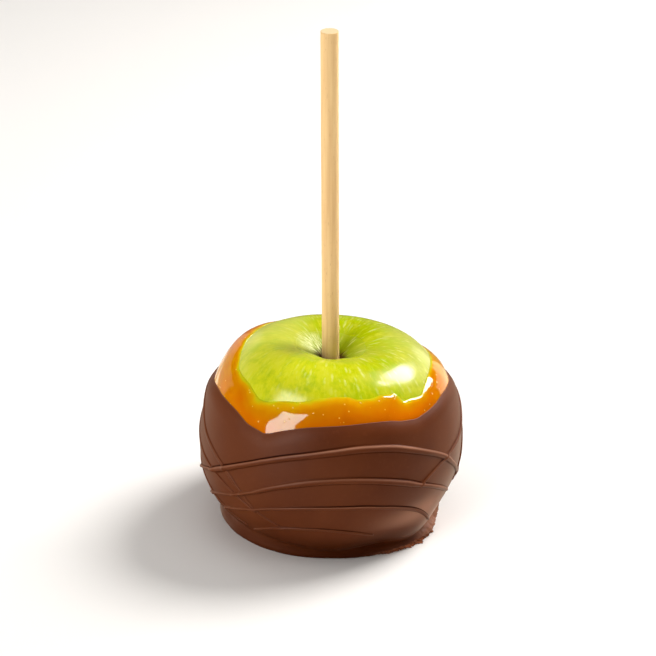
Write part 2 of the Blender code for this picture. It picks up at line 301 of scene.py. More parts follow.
def applePiece():
    # From the foot of the stick's hole, up the hole, out over the cavity and the shoulder and down to the base.
    # Near the stick, rows are evenly spaced in radius, and lower down in polar angle.
    f = fruit
    around = ring(f["columns"])
    hole = stick["diameter"] / 2 + f["gap"]
    share = np.linspace((hole + 0.2 * mm) / f["radius"], 0.86, f["shoulderRows"])
    upper = np.arcsin(share ** (1 / f["shoulderSquareness"]))
    lower = np.linspace(upper[-1], np.radians(178), f["sideRows"])[1:]
    polar = np.concatenate([upper, lower])[:, None]
    radius, height = appleProfile(around, polar)
    # creases: bells round the stick, deepest at one radius; dent: the skin pushed in by the stick; uneven: broad
    # waves over the cavity and the shoulder
    inCrease = np.exp(-(((radius - f["creaseAt"]) / f["creaseReach"]) ** 2))
    creased = bumps(around + 0 * radius, f["creases"]) * inCrease
    dented = f["dent"] * np.exp(-(radius - hole) / f["dent"])
    plain = placed(around, radius, height)
    uneven = f["uneven"] * waves(plain, f["unevenSize"], f["seed"]) * np.exp(-((radius / f["unevenReach"]) ** 6))
    grid = placed(around, radius, height - creased - dented + uneven)
    holeFoot, holeTop = stick["bottom"] - f["gap"], grid[0, :, 2][None, :]
    climb = np.linspace(0, 1, f["holeRows"])[:, None]
    wall = stickAxis(holeFoot + (holeTop - holeFoot) * climb) + placed(around, hole, 0 * climb * around)
    wall[-1, :, 2] -= 0.15 * mm  # the rim of the hole, a little below the first row of skin
    whole = np.concatenate([wall, grid])
    # flow: a point that goes round at 20 mm and down with the distance along the skin, so that what follows it runs
    # down from the stem and widens outwards
    steps = np.linalg.norm(np.diff(grid, axis=0), axis=-1)
    down = np.concatenate([np.zeros((1, f["columns"])), np.cumsum(steps, axis=0)])
    flow = placed(around, 20 * mm, down)
    flow = np.concatenate([np.repeat(flow[:1], f["holeRows"], axis=0), flow])
    fromStick = np.concatenate([np.zeros(wall.shape[:2]), radius])
    ends = stickAxis(holeFoot), (0, 0, appleProfile(0.0, np.pi)[1])
    return closedMesh("greenApple", [(whole, *ends)], {"flow": [flow], "fromStick": [fromStick]})


def appleSkin():
    # The waxed skin of a green apple: glossy yellow-green, riper and with painted front light at the front left, in
    # ragged blotches 4 mm wide and 9 mm long, with pale fibres 0.8 mm wide and 3 mm long and pale flecks that run down
    # from the stem, 0.5 mm by 4 mm near it and 0.9 mm by 3 mm further out. The cavity is dull, with painted shade and
    # brown russet in it, and both shoulders carry a painted sheen.
    f = fruit
    material, tree, shader = newMaterial("waxedGreenAppleSkin", f["viewColour"])
    flow = addNode(tree, "Attribute", {"attribute_name": "flow"})
    out = addNode(tree, "Attribute", {"attribute_name": "fromStick"})
    place = addNode(tree, "TexCoord")
    across = addNode(tree, "SeparateXYZ", {}, {0: (place, "Object")})
    fibreMap = addNode(tree, "Mapping", {"Scale": (1, 1, 0.24)}, {"Vector": (flow, "Vector")})
    fibres = addNode(tree, "TexNoise", {"Scale": 1.3 / mm, "Detail": 3, "Roughness": 0.6}, {"Vector": (fibreMap, 0)})
    blotchMap = addNode(tree, "Mapping", {"Scale": (1, 1, 0.5)}, {"Vector": (flow, "Vector")})
    ragged = {"Scale": 0.23 / mm, "Detail": 6, "Roughness": 0.72}
    blotches = addNode(tree, "TexNoise", ragged, {"Vector": (blotchMap, 0)})

    # flecks, bent a little out of line, and fewer on the left
    stray = addNode(tree, "TexNoise", {"Scale": 0.7 / mm, "Detail": 1}, {"Vector": (flow, "Vector")})
    astray = {"operation": "MULTIPLY_ADD", 1: (0.6 * mm,) * 3}
    bent = addNode(tree, "VectorMath", astray, {0: (stray, "Color"), 2: (flow, "Vector")})
    kinds = []
    for perMm, stretch, fewest, most, core, edge in f["flecks"]:
        fleckMap = addNode(tree, "Mapping", {"Scale": (1, 1, stretch)}, {"Vector": (bent, 0)})
        fleck = addNode(tree, "TexVoronoi", {"Scale": perMm / mm}, {"Vector": (fleckMap, 0)})
        inFleck = addNode(tree, "MapRange", {"range": (core, edge, 1, 0)}, {"Value": (fleck, "Distance")})
        chance = addNode(tree, "SeparateColor", {}, {0: (fleck, "Color")})
        kept = addNode(tree, "MapRange", {"range": (fewest, most, 0, 1)}, {"Value": (chance, 0)})
        kinds.append(addNode(tree, "Math", {"operation": "MULTIPLY"}, {0: (inFleck, 0), 1: (kept, 0)}))
    far = addNode(tree, "MapRange", {"range": (17 * mm, 25 * mm, 0, 1)}, {"Value": (out, "Fac")})
    allFlecks = addNode(tree, "Mix", {}, {0: (far, 0), 2: (kinds[0], 0), 3: (kinds[1], 0)})
    many = addNode(tree, "MapRange", {"range": (-22 * mm, 4 * mm, 0.25, 1)}, {"Value": (across, "X")})
    flecks = addNode(tree, "Math", {"operation": "MULTIPLY"}, {0: (allFlecks, 0), 1: (many, 0)})
    fleckTone = addNode(tree, "Math", {"operation": "MULTIPLY", 1: 0.6}, {0: (flecks, 0)})

    # ripeness with painted front light, 0 at the back right to 1 at the front left: riper and lit towards the front,
    # greener and shaded towards the back; then blotches greener and paler than it, and fibres
    side = addNode(tree, "VectorMath", {"operation": "DOT_PRODUCT", 1: (-0.5, -0.85, 0)}, {0: (place, "Object")})
    ripeAndFrontLit = addNode(tree, "MapRange", {"range": (-22 * mm, 32 * mm, 0, 1)}, {"Value": (side, "Value")})
    ripenessAndFrontLight = {"stops": [(0.0, f["greenerAndShadedBack"]), (0.45, f["green"]), (1.0, f["riperAndLitFront"])]}
    ground = addNode(tree, "ValToRGB", ripenessAndFrontLight, {0: (ripeAndFrontLit, 0)})
    blotch = addNode(tree, "MapRange", {"range": (0.47, 0.62, 0, 0.85)}, {"Value": (blotches, "Fac")})
    paleBlotch = addNode(tree, "MapRange", {"range": (0.49, 0.34, 0, 0.55)}, {"Value": (blotches, "Fac")})
    fibre = addNode(tree, "MapRange", {"range": (0.50, 0.68, 0, 0.40)}, {"Value": (fibres, "Fac")})

    # painted shade: the cavity darker green; and a painted sheen on both shoulders and behind
    smooth = {"interpolation_type": "SMOOTHSTEP", "range": (5 * mm, 16 * mm, 1, 0)}
    deep = addNode(tree, "MapRange", smooth, {"Value": (out, "Fac")})
    # painted shade: the cavity mixed towards a darker green
    cavityShade = addNode(tree, "Math", {"operation": "MULTIPLY", 1: 0.7}, {0: (deep, 0)})
    # painted sheen: a pale wash on both shoulders and behind, where the walls reflect
    reach = addNode(tree, "MapRange", {"range": (-40 * mm, 40 * mm, 0, 1)}, {"Value": (across, "X")})
    paintedShoulderSheenStops = {"stops": [(0.06, 0.30), (0.34, 0.26), (0.44, 0.0), (0.70, 0.0), (0.90, 0.42)]}
    shoulders = addNode(tree, "ValToRGB", paintedShoulderSheenStops, {0: (reach, 0)})
    behind = addNode(tree, "MapRange", {"range": (-26 * mm, 6 * mm, 0.1, 1.25)}, {"Value": (across, "Y")})
    paintedShoulderSheen = addNode(tree, "Math", {"operation": "MULTIPLY", "use_clamp": True}, {0: (shoulders, 0), 1: (behind, 0)})

    # inside the cavity: pale fibres on its left wall, partly a painted highlight, and russet round the stick
    toPatch = addNode(tree, "VectorMath", {"operation": "DISTANCE", 1: f["patch"]}, {0: (place, "Object")})
    inPatch = addNode(tree, "MapRange", {"range": (3 * mm, 7.5 * mm, 0.85, 0)}, {"Value": (toPatch, "Value")})
    stripe = addNode(tree, "MapRange", {"range": (0.44, 0.60, 0, 1)}, {"Value": (fibres, "Fac")})
    fibresAndPaintedHighlight = addNode(tree, "Math", {"operation": "MULTIPLY"}, {0: (inPatch, 0), 1: (stripe, 0)})
    rust = addNode(tree, "TexNoise", {"Scale": 0.42 / mm, "Detail": 4, "Roughness": 0.7}, {"Vector": (fibreMap, 0)})
    near = addNode(tree, "MapRange", {"range": (3.4 * mm, 8.5 * mm, 0.60, -0.25)}, {"Value": (out, "Fac")})
    rusty = addNode(tree, "Math", {"operation": "ADD"}, {0: (rust, "Fac"), 1: (near, 0)})
    russet = addNode(tree, "MapRange", {"range": (0.60, 0.95, 0, 1)}, {"Value": (rusty, 0)})

    # the colours, each laid over the one before
    tone = ground, 0
    for mask, colour in (
        (blotch, "blotch"), (paleBlotch, "paleBlotch"), (fibre, "fibre"), (cavityShade, "cavity"), (paintedShoulderSheen, "paintedShoulderSheen"),
        (fleckTone, "fleck"), (fibresAndPaintedHighlight, "cavityFibreAndHighlight"), (russet, "russet"),
    ):
        tone = addNode(tree, "Mix", {"data_type": "RGBA", 7: linear(f[colour])}, {0: (mask, 0), 6: tone}), 2
    dull = addNode(tree, "MapRange", {"range": (0, 1, 0.2, 0.55)}, {"Value": (deep, 0)})
    shine = addNode(tree, "MapRange", {"range": (0, 1, 0.62, 0.14)}, {"Value": (deep, 0)})
    bump = addNode(tree, "Bump", {"Strength": 0.25, "Distance": 0.05 * mm}, {"Height": (fibres, "Fac")})
    fitNode(tree, shader, {"IOR": 1.45}, {
        "Base Color": tone, "Roughness": (dull, 0), "Specular IOR Level": (shine, 0), "Normal": (bump, 0),
    })
    return material


standFor(applePiece(), "apple", appleSkin())

# Both coats: the apple was dipped tilted, so each dip left an edge that runs at a slant round the stick.
coatsEnd = np.radians(172)  # the polar angle of the last row of each, near the middle of the base


def dipEdge(azimuth, knots):
    # the edge of a dip, a closed curve through knots of (facing, polar angle), both in degrees: cubic between
    # neighbours, with the slope at a knot that of the chord between the knots beside it
    knots = np.array(knots, dtype=float)
    knots = np.concatenate([knots[-2:] - (360, 0), knots, knots[:3] + (360, 0)])
    facing, polar = knots.T
    slope = np.gradient(polar, facing)
    at = np.degrees(azimuth) % 360
    k = np.searchsorted(facing, at, side="right") - 1
    span = facing[k + 1] - facing[k]
    t = (at - facing[k]) / span
    rise = polar[k + 1] - polar[k]
    bend = t * (1 - t) * span * (slope[k] * (1 - t) - slope[k + 1] * t)
    return np.radians(polar[k] + rise * t * t * (3 - 2 * t) + bend)


def fromEdge(azimuth, polar, edge, reach=60):
    # distance over the fruit from each point of a grid to the nearest point of an edge, in metres
    nearest = np.full(polar.shape, np.inf)
    step = azimuth[0, 1] - azimuth[0, 0]
    for shift in range(-reach, reach + 1):
        sideways = shift * step * np.sin(polar)
        nearest = np.minimum(nearest, np.hypot(sideways, polar - np.roll(edge, -shift, axis=1)))
    return nearest * fruit["radius"]


def innerFace(azimuth, edge, offset, rows):
    # the hidden face of a coat, from near the base up to its edge, with rows closer together towards the edge
    polar = edge + (coatsEnd - edge) * np.linspace(1, 0.001, rows)[:, None] ** 1.4
    return placed(azimuth, *skin(azimuth, polar, offset))


def lipRows(azimuth, edge, inner, outer, rows=7):
    # half a turn round the coat's edge, from its inner to its outer face, without the rows that lie on them
    middle, half = (inner + outer) / 2, (outer - inner) / 2
    swing = np.linspace(-np.pi / 2, np.pi / 2, rows)[1:-1, None]
    offset = middle + half * np.sin(swing)
    polar = edge - half / fruit["radius"] * np.cos(swing)
    return placed(azimuth, *skin(azimuth, polar, offset))


caramel = dict(
    # the edge over the apple: (facing, polar angle), in degrees
    edge=(
        (0, 41.6), (8, 41.8), (20, 43.5), (45, 46), (75, 45), (105, 40.5), (122, 35.5), (135, 32.6), (146, 31.2),
        (157, 30.6), (163, 30.8), (169, 32.1), (175, 33.7), (181, 34.8), (187, 36.3), (193, 38.3), (199, 41.0),
        (204, 42.0), (211, 42.9), (217, 43.6), (223, 45.8), (227, 47.6), (231, 48.5), (235, 47.8), (241, 45.9),
        (247, 44.6), (254, 43.5), (258, 42.6), (262, 40.8), (267, 39.9), (277, 39.4), (281, 39.7), (285, 40.9),
        (292, 41.5), (297, 41.2), (301, 40.9), (306.5, 41.6), (310.5, 42.0), (312.2, 44.2), (313.6, 46.4),
        (315.4, 47.5), (318.3, 47.7), (321, 47.7), (325, 48.6), (328.7, 48.8), (331.2, 47.7), (334, 46.5),
        (339, 44.6), (343, 43.4), (350, 42.3),
    ),
    inner=-0.1 * mm, lip=0.14 * mm, surface=2.2 * mm, taper=9 * mm,
    # where the lip is a bead: (facing, half-width in degrees, share)
    beaded=((324, 20, 1.2), (306, 8, 0.9)), beadWidth=2.6 * mm, beadHeight=0.50 * mm, beadFade=11 * mm,
    ripple=0.035 * mm, rippleSize=4 * mm, flowed=0.05 * mm, flowedSize=9 * mm, edgeWaves=0.12, edgeWaveSize=4 * mm,
    seed=30, columns=720, innerRows=10, shownRows=84, shownAngle=34, hiddenRows=9,
    # where the yellow film at the lip is shorter or longer: (facing, half-width in degrees, share)
    filmed=((10, 42, 2.0), (178, 36, 1.8), (246, 22, -0.35)),
    # where it stays lighter, so that its colour stops at that depth: (facing, half-width in degrees, depth less)
    lighter=((10, 48, 11 * mm), (192, 38, 10.5 * mm)), deepest=14 * mm,
    viewColour="#D07A08", bubble="#F2C24A", bubblesPerMm=0.56,
    # the colour at each share of the deepest
    tones=(
        (0.0, "#C9BF14"), (0.05, "#D2B20B"), (0.13, "#D89B04"), (0.28, "#D08102"), (0.55, "#CE6E02"), (1.0, "#C05C00"),
    ),
)


def caramelEdge(azimuth):
    # the polar angle of the caramel's edge: the dip's, with small waves added
    c = caramel
    wavy = waves(placed(azimuth, 30 * mm, 0 * azimuth), c["edgeWaveSize"], c["seed"] + 1)
    return dipEdge(azimuth, c["edge"]) + np.radians(c["edgeWaves"]) * wavy


def caramelPiece():
    # Thickness: the lip's, swelling to the full one as 1 - (1 - t)^2 with the distance t from the edge. Where
    # it is beaded, a quarter of an ellipse first, and then a smooth step.
    c = caramel
    around = ring(c["columns"])
    edge = caramelEdge(around)
    shown = edge + np.radians(c["shownAngle"]) * np.linspace(0, 1, c["shownRows"])[:, None] ** 1.15
    hidden = shown[-1:] + (coatsEnd - shown[-1:]) * np.linspace(0, 1, c["hiddenRows"])[1:, None]
    outside = np.concatenate([shown, hidden])
    away = fromEdge(around, outside, edge)
    plain = c["surface"] + (c["lip"] - c["surface"]) * (1 - np.clip(away / c["taper"], 0, 1)) ** 2
    bead = c["beadHeight"] * np.sqrt(1 - (1 - np.clip(away / c["beadWidth"], 0, 1)) ** 2)
    slope = (c["surface"] - c["lip"] - c["beadHeight"]) * smoothStep(away, 0, c["beadFade"])
    beaded = np.clip(bumps(around, c["beaded"]), 0, 1)
    offset = plain + (c["lip"] + bead + slope - plain) * beaded
    # it set a little uneven, most of all from 6 to 9 mm down, and the bead is rippled
    rough = placed(around, *skin(around, outside, offset))
    uneven = smoothStep(away, 0, 6 * mm) * (1 - smoothStep(away, 9 * mm, 14 * mm))
    offset = offset - c["flowed"] * (1 + waves(rough, c["flowedSize"], c["seed"] + 3)) * uneven
    rippled = beaded * smoothStep(away, 0.1 * mm, 0.9 * mm) * (1 - smoothStep(away, 2 * mm, 4 * mm))
    offset = offset + c["ripple"] * waves(rough, c["rippleSize"], c["seed"] + 5) * rippled
    outer = placed(around, *skin(around, outside, offset))
    inner = innerFace(around, edge, c["inner"], c["innerRows"])
    grid = np.concatenate([inner, lipRows(around, edge, c["inner"], c["lip"]), outer])
    film = np.minimum(away * (1 + bumps(around, c["filmed"])), c["deepest"] - bumps(around, c["lighter"]))
    fromLip = np.concatenate([np.zeros((len(grid) - len(film), c["columns"])), film])
    base = fruit["widestHeight"] - fruit["drop"]
    ends = (0, 0, base - c["inner"]), (0, 0, base - c["surface"])
    return closedMesh("caramelCoat", [(grid, *ends)], {"fromLip": [fromLip]})


def caramelGlaze():
    # soft caramel, set from a hot dip: clear amber with a wet gloss. It is yellow where its edge is thin over the
    # apple and deepens to orange-brown within 14 mm. Half of its 1.8 mm cells hold a bubble of up to 0.8 mm.
    c = caramel
    material, tree, shader = newMaterial("softCaramel", c["viewColour"])
    away = addNode(tree, "Attribute", {"attribute_name": "fromLip"})
    place = addNode(tree, "TexCoord")
    drift = addNode(tree, "TexNoise", {"Scale": 0.11 / mm, "Detail": 2}, {"Vector": (place, "Object")})
    spread = addNode(tree, "MapRange", {"range": (0.3, 0.7, -1.2 * mm, 1.2 * mm)}, {"Value": (drift, "Fac")})
    depth = addNode(tree, "Math", {"operation": "ADD"}, {0: (away, "Fac"), 1: (spread, 0)})
    share = addNode(tree, "MapRange", {"range": (0, c["deepest"], 0, 1)}, {"Value": (depth, 0)})
    amber = addNode(tree, "ValToRGB", {"stops": c["tones"]}, {0: (share, 0)})
    bubble = addNode(tree, "TexVoronoi", {"Scale": c["bubblesPerMm"] / mm}, {"Vector": (place, "Object")})
    chance = addNode(tree, "SeparateColor", {}, {0: (bubble, "Color")})
    kept = addNode(tree, "MapRange", {"range": (0.50, 0.52, 0, 1)}, {"Value": (chance, 0)})
    smooth = {"interpolation_type": "SMOOTHSTEP", "range": (0.08, 0.23, 1, 0)}
    dome = addNode(tree, "MapRange", smooth, {"Value": (bubble, "Distance")})
    bubbles = addNode(tree, "Math", {"operation": "MULTIPLY"}, {0: (dome, 0), 1: (kept, 0)})
    pale = addNode(tree, "Math", {"operation": "MULTIPLY", 1: 0.8}, {0: (bubbles, 0)})
    bump = addNode(tree, "Bump", {"Strength": 0.5, "Distance": 0.12 * mm}, {"Height": (bubbles, 0)})
    settings = {
        "Roughness": 0.06, "IOR": 1.49, "Specular IOR Level": 0.75, "Specular Tint": (0.78, 1.0, 1.0, 1.0),
        "Subsurface Weight": 0.25, "Subsurface Radius": (1.0, 0.45, 0.08), "Subsurface Scale": 2 * mm,
    }
    tone = addNode(tree, "Mix", {"data_type": "RGBA", 7: linear(c["bubble"])}, {0: (pale, 0), 6: (amber, 0)})
    fitNode(tree, shader, settings, {"Base Color": (tone, 2), "Normal": (bump, 0)})
    return material


standFor(caramelPiece(), "caramel_coat", caramelGlaze())

chocolate = dict(
    # the edge over the caramel: (facing, polar angle), in degrees
    edge=(
        (10, 58.5), (35, 60.5), (62, 61.5), (92, 62), (122, 61), (150, 60.5), (168, 60), (182, 58.6), (190, 57.2),
        (196, 56.6), (205, 56.8), (212, 57.2), (218, 58), (223, 59.4), (228, 61.2), (232, 61.8), (235.5, 62.3),
        (238, 62.7), (240.5, 62.1), (244, 60.7), (248, 59.1), (253, 57.6), (259, 56.2), (265, 55.3), (274, 54.6),
        (286, 54.2), (294, 54.5), (301, 55.3), (307, 56.8), (312, 57.6), (317, 58.4), (322, 58), (329, 57.3),
        (335, 56.6), (340, 55.9), (346, 55.6), (354, 56.2),
    ),
    inner=2.0 * mm, lip=2.45 * mm, surface=3.7 * mm, taper=7, lastPolar=141, uneven=0.08 * mm, unevenSize=22 * mm,
    edgeWaves=0.06, edgeWaveSize=9 * mm, seed=40,
    footRadius=40.5 * mm, footHeight=5.8 * mm,
    # where the foot spread or drew in: (facing, half-width in degrees, reach)
    spreads=((200, 26, 0.8 * mm), (266, 16, -0.9 * mm), (316, 17, 2.8 * mm), (331, 9, 1.7 * mm)),
    # where the foot tore as it left the tray, and where it was pinched: (facing, half-width in degrees, share)
    torn=((318, 19, 1.0),), jag=0.9 * mm, crumbs=0.9 * mm, pinched=((339, 14, 1.5),), lumps=0.6 * mm,
    # where the body runs down to the tray with hardly a crease: (facing, half-width in degrees, fill)
    filled=((274, 26, 2.2 * mm), (315, 17, 3.6 * mm)),
    # where painted shade darkens the chocolate near the tray or, below 0, painted light makes it paler: (facing,
    # half-width in degrees, share), and where a painted pale sheen lies on it, with how high up and how tall that is
    paintedShadeAndLight=((284, 30, 0.85), (335, 18, -0.9)), paintedFlankSheen=((313, 17, 0.82),), paintedFlankSheenHeight=15.8 * mm, paintedFlankSheenReach=4 * mm,
    columns=640, innerRows=8, shownRows=84, footSteps=8, under=(0.9, 0.6, 0.3),
    # the dark brown near the tray is painted shade
    viewColour="#6A3D2A", brown="#592910", lightBrown="#623014", speck="#7C4026", paintedShadeNearTray="#3C1708",
    # the last two are a painted highlight colour and a painted crevice shade colour
    broken="#9C5C3C", paintedHighlight="#BC8468", paintedCreviceShade="#2A0C02",
)


def chocolateEdge(azimuth):
    # the polar angle of the chocolate's edge: the dip's, with small waves added
    c = chocolate
    wavy = waves(placed(azimuth, 40 * mm, 0 * azimuth), c["edgeWaveSize"], c["seed"] + 1)
    return dipEdge(azimuth, c["edge"]) + np.radians(c["edgeWaves"]) * wavy


def chocolateSurface(azimuth, polar, extra):
    # the coat's outer face, with extra standing on it: the lip's thickness swells to the full one as 1 - (1 - t)^2,
    # the fill is added near the tray, and a broad unevenness takes a little away
    c = chocolate
    edge = chocolateEdge(azimuth)
    swell = 1 - np.clip((polar - edge) / np.radians(c["taper"]), 0, 1)
    offset = c["surface"] + (c["lip"] - c["surface"]) * swell**2
    offset = offset + bumps(azimuth, c["filled"]) * smoothStep(polar, np.radians(108), np.radians(c["lastPolar"]))
    plain = placed(azimuth, *skin(azimuth, polar, offset))
    uneven = c["uneven"] * (1 + waves(plain, c["unevenSize"], c["seed"] + 3))
    return skin(azimuth, polar, offset - uneven * smoothStep(polar - edge, 0, np.radians(10)) + extra)


def chocolatePiece():
    # inside up, round the lip, down the outside, then a soft path out over the foot and in under it
    c = chocolate
    around = ring(c["columns"])
    edge = chocolateEdge(around)
    inner = innerFace(around, edge, c["inner"], c["innerRows"])
    lip = lipRows(around, edge, c["inner"], c["lip"])
    last = np.radians(c["lastPolar"] - 4)
    outside = edge + (last - edge) * np.linspace(0, 1, c["shownRows"])[:, None] ** 1.1
    radius, height = chocolateSurface(around, outside, 0.0)
    creaseRadius, creaseHeight = chocolateSurface(around, np.full_like(around, np.radians(c["lastPolar"])), 0.0)

    # the foot's profile, in knots down from the crease; where it tore, its toe is drawn in and its rim is jagged
    torn = np.clip(bumps(around, c["torn"]), 0, 1)
    rim = placed(around, c["footRadius"], 0 * around)
    jag = c["jag"] * torn * (waves(rim, 5 * mm, c["seed"] + 5) + 0.6 * waves(rim, 2 * mm, c["seed"] + 6))
    toe = c["footRadius"] + bumps(around, c["spreads"])
    tall = c["footHeight"] * (1 - 0.25 * torn)
    fill = bumps(around, c["filled"]) * (1 - torn)
    knotRadius = [
        radius[-1:], creaseRadius, toe + (0.3 - 1.7 * torn) * mm + 0.35 * fill, toe + (0.5 - 1.1 * torn) * mm,
        toe + 0.6 * jag - 0.15 * mm, toe + jag - (1.0 - 0.5 * torn) * mm,
    ]
    knotHeight = [height[-1:], creaseHeight, 0.66 * tall, 0.36 * tall, 0.10 * tall, 0 * tall]
    knots = np.stack([np.concatenate(knotRadius), np.concatenate(knotHeight)], axis=-1)
    path = softPath(knots, c["footSteps"])[1:]
    footRadius, footHeight = path[:, :, 0], np.maximum(path[:, :, 1], 0)

    # crumbs of 1 to 2 mm at the very rim where it tore, lumps where it was pinched, and a broad unevenness
    low = smoothStep(creaseHeight - footHeight, -1 * mm, 1.5 * mm)
    lowest = np.clip(1.4 * torn, 0, 1) * smoothStep(2.2 * mm - footHeight, 0, 1.0 * mm)
    rough = placed(around, footRadius, footHeight)
    crumbs = np.abs(waves(rough, 2.0 * mm, c["seed"] + 7)) + 0.8 * np.abs(waves(rough, 1.0 * mm, c["seed"] + 8))
    knobs = np.abs(waves(rough, 3.2 * mm, c["seed"] + 10)) + 0.5 * np.abs(waves(rough, 1.5 * mm, c["seed"] + 11))
    lumps = np.clip(bumps(around, c["pinched"]), 0, 1.5) * low * knobs
    broad = 0.10 * mm * low * (1 + waves(rough, 12 * mm, c["seed"] + 9))
    footRadius = footRadius - c["crumbs"] * lowest * crumbs - c["lumps"] * lumps - broad
    foot = placed(around, footRadius, footHeight)
    under = placed(around, footRadius[-1:] * np.array(c["under"])[:, None], 0 * around)
    grid = np.concatenate([inner, lip, placed(around, radius, height), foot, under])

    # broken: where the torn face shows; relief: painted shade above 0 and painted light below
    lipAt = slice(len(inner), len(inner) + len(lip))
    footAt = slice(len(grid) - len(under) - len(foot), len(grid) - len(under))
    broken = np.zeros(grid.shape[:2])
    broken[footAt] = lowest * smoothStep(crumbs, 0.1, 0.7)
    up = grid[:, :, 2]
    # painted shade near the tray at the front, painted light where the share is below 0, and a painted pale sheen on
    # the lower right flank
    relief = bumps(around, c["paintedShadeAndLight"]) * (1 - smoothStep(up, 7 * mm, 15 * mm))
    relief = relief - bumps(around, c["paintedFlankSheen"]) * np.exp(-(((up - c["paintedFlankSheenHeight"]) / c["paintedFlankSheenReach"]) ** 2))
    # a painted highlight along the lip
    relief[lipAt] -= 0.5
    relief[footAt] *= 1 - lowest
    # painted shade in the hollows between the crumbs where it tore
    relief[footAt] += 0.8 * lowest * smoothStep(crumbs, 0.9, 1.5)
    ends = (0, 0, fruit["widestHeight"] - fruit["drop"] - c["inner"]), (0, 0, 0)
    return closedMesh("chocolateCoat", [(grid, *ends)], {"broken": [broken], "relief": [relief]})


def milkChocolate():
    # tempered milk chocolate, set from a dip: an even warm brown with a satin sheen, in clouds of about 20 mm with
    # specks of 1.4 mm. It has painted shade near the tray and in crevices, painted highlights on crests and along the
    # lip, a painted pale sheen low on the right flank, and it is paler, dull and crumbly where the foot broke.
    c = chocolate
    material, tree, shader = newMaterial("milkChocolate", c["viewColour"])
    place = addNode(tree, "TexCoord")
    torn = addNode(tree, "Attribute", {"attribute_name": "broken"})
    relief = addNode(tree, "Attribute", {"attribute_name": "relief"})
    clouds = addNode(tree, "TexNoise", {"Scale": 0.045 / mm, "Detail": 3}, {"Vector": (place, "Object")})
    specks = addNode(tree, "TexNoise", {"Scale": 0.7 / mm, "Detail": 3}, {"Vector": (place, "Object")})
    brown = addNode(tree, "ValToRGB", {"stops": [(0.3, c["brown"]), (0.7, c["lightBrown"])]}, {0: (clouds, "Fac")})
    speck = addNode(tree, "MapRange", {"range": (0.55, 0.75, 0, 0.12)}, {"Value": (specks, "Fac")})
    height = addNode(tree, "SeparateXYZ", {}, {0: (place, "Object")})
    # painted shade: darker towards the tray, below 18 mm
    low = addNode(tree, "MapRange", {"range": (-2 * mm, 18 * mm, 0.55, 0)}, {"Value": (height, "Z")})
    # painted highlight where relief is below 0 and painted crevice shade where it is above 0
    paintedHighlight = addNode(tree, "Math", {"operation": "MULTIPLY", "use_clamp": True, 1: -0.6}, {0: (relief, "Fac")})
    paintedCreviceShade = addNode(tree, "Math", {"operation": "MULTIPLY", "use_clamp": True, 1: 0.9}, {0: (relief, "Fac")})
    # the colours, each laid over the one before
    tone = brown, 0
    for mask, output, colour in (
        (speck, 0, "speck"), (low, 0, "paintedShadeNearTray"), (torn, "Fac", "broken"), (paintedHighlight, 0, "paintedHighlight"),
        (paintedCreviceShade, 0, "paintedCreviceShade"),
    ):
        tone = addNode(tree, "Mix", {"data_type": "RGBA", 7: linear(c[colour])}, {0: (mask, output), 6: tone}), 2
    gloss = addNode(tree, "MapRange", {"range": (0.3, 0.7, 0.47, 0.54)}, {"Value": (clouds, "Fac")})
    dull = addNode(tree, "Math", {"operation": "MAXIMUM"}, {0: (gloss, 0), 1: (torn, "Fac")})
    shine = addNode(tree, "MapRange", {"range": (0, 0.6, 0.14, 0.02)}, {"Value": (paintedCreviceShade, 0)})
    # a soft unevenness of about 4 mm
    fine = addNode(tree, "TexNoise", {"Scale": 0.24 / mm, "Detail": 2}, {"Vector": (place, "Object")})
    bump = addNode(tree, "Bump", {"Strength": 0.12, "Distance": 0.08 * mm}, {"Height": (fine, "Fac")})
    fitNode(tree, shader, {"IOR": 1.45}, {
        "Base Color": tone, "Roughness": (dull, 0), "Specular IOR Level": (shine, 0), "Normal": (bump, 0),
    })
    return material


chocolateLook = milkChocolate()
standFor(chocolatePiece(), "chocolate_coat", chocolateLook)

